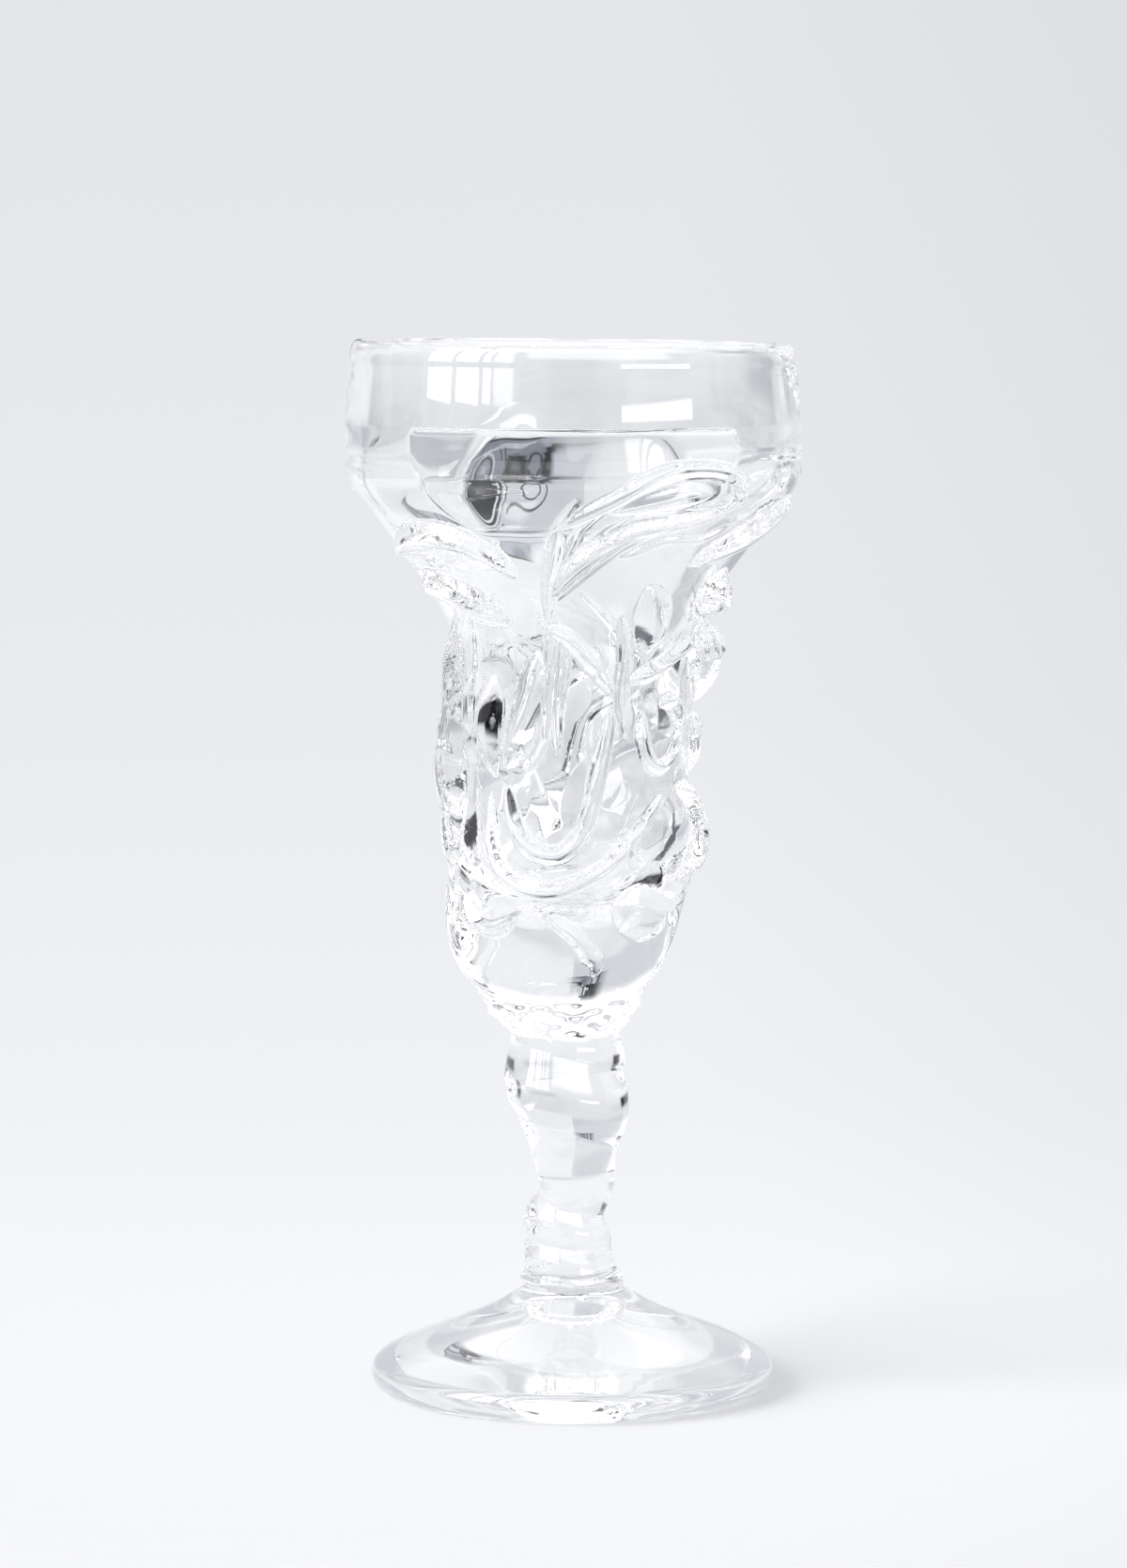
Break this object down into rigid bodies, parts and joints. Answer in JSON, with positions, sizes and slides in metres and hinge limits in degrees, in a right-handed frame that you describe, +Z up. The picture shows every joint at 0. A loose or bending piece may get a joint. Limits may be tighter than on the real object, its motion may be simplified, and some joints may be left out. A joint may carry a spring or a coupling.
{
  "type": "glass chalice",
  "caption": "Hand-worked clear glass chalice: a thick flared cup coated with hot-laid trails, folds and prunts, on a twisted stem and a spread hollow foot.",
  "frame": {"origin": "centre of the foot's underside, on the surface that the chalice stands on", "axes": "+Z up along the cup's axis; -Y towards the side that the picture shows; +X to that view's right"},
  "size_m": [0.0884, 0.0884, 0.205],
  "materials": {
    "cup_glass": "clear soda-lime glass, blown and fire-polished",
    "trail_glass": "clear soda-lime glass, laid on hot",
    "stem_glass": "clear soda-lime glass, drawn and twisted hot",
    "foot_glass": "clear soda-lime glass, spread and fire-polished"
  },
  "bodies": {
    "root": {"foot": "foot_glass", "foot_wafer": "stem_glass", "stem_twist": "stem_glass", "stem_knop": "stem_glass", "cup_wafer": "stem_glass", "cup": "cup_glass", "rim_band": "cup_glass", "left_swag": "trail_glass", "left_fold": "trail_glass", "left_ribbon": "trail_glass", "left_leaf": "trail_glass", "left_lobe": "trail_glass", "heel_thread": "trail_glass", "outer_hairpin": "trail_glass", "tongue": "trail_glass", "crossing_thread": "trail_glass", "inner_loop": "trail_glass", "outer_loop": "trail_glass", "base_thread": "trail_glass", "right_swag": "trail_glass", "right_curtain": "trail_glass", "upper_prunt": "trail_glass", "side_prunt": "trail_glass", "side_fold": "trail_glass", "hook_thread": "trail_glass", "tear_loop": "trail_glass", "crescent": "trail_glass", "heel_lobe": "trail_glass", "back_swag": "trail_glass", "back_fold": "trail_glass", "back_hairpin": "trail_glass", "back_loop": "trail_glass", "back_prunt": "trail_glass", "back_lobe": "trail_glass", "back_tear": "trail_glass", "back_crescent": "trail_glass", "back_thread": "trail_glass"}
  },
  "joints": []
}
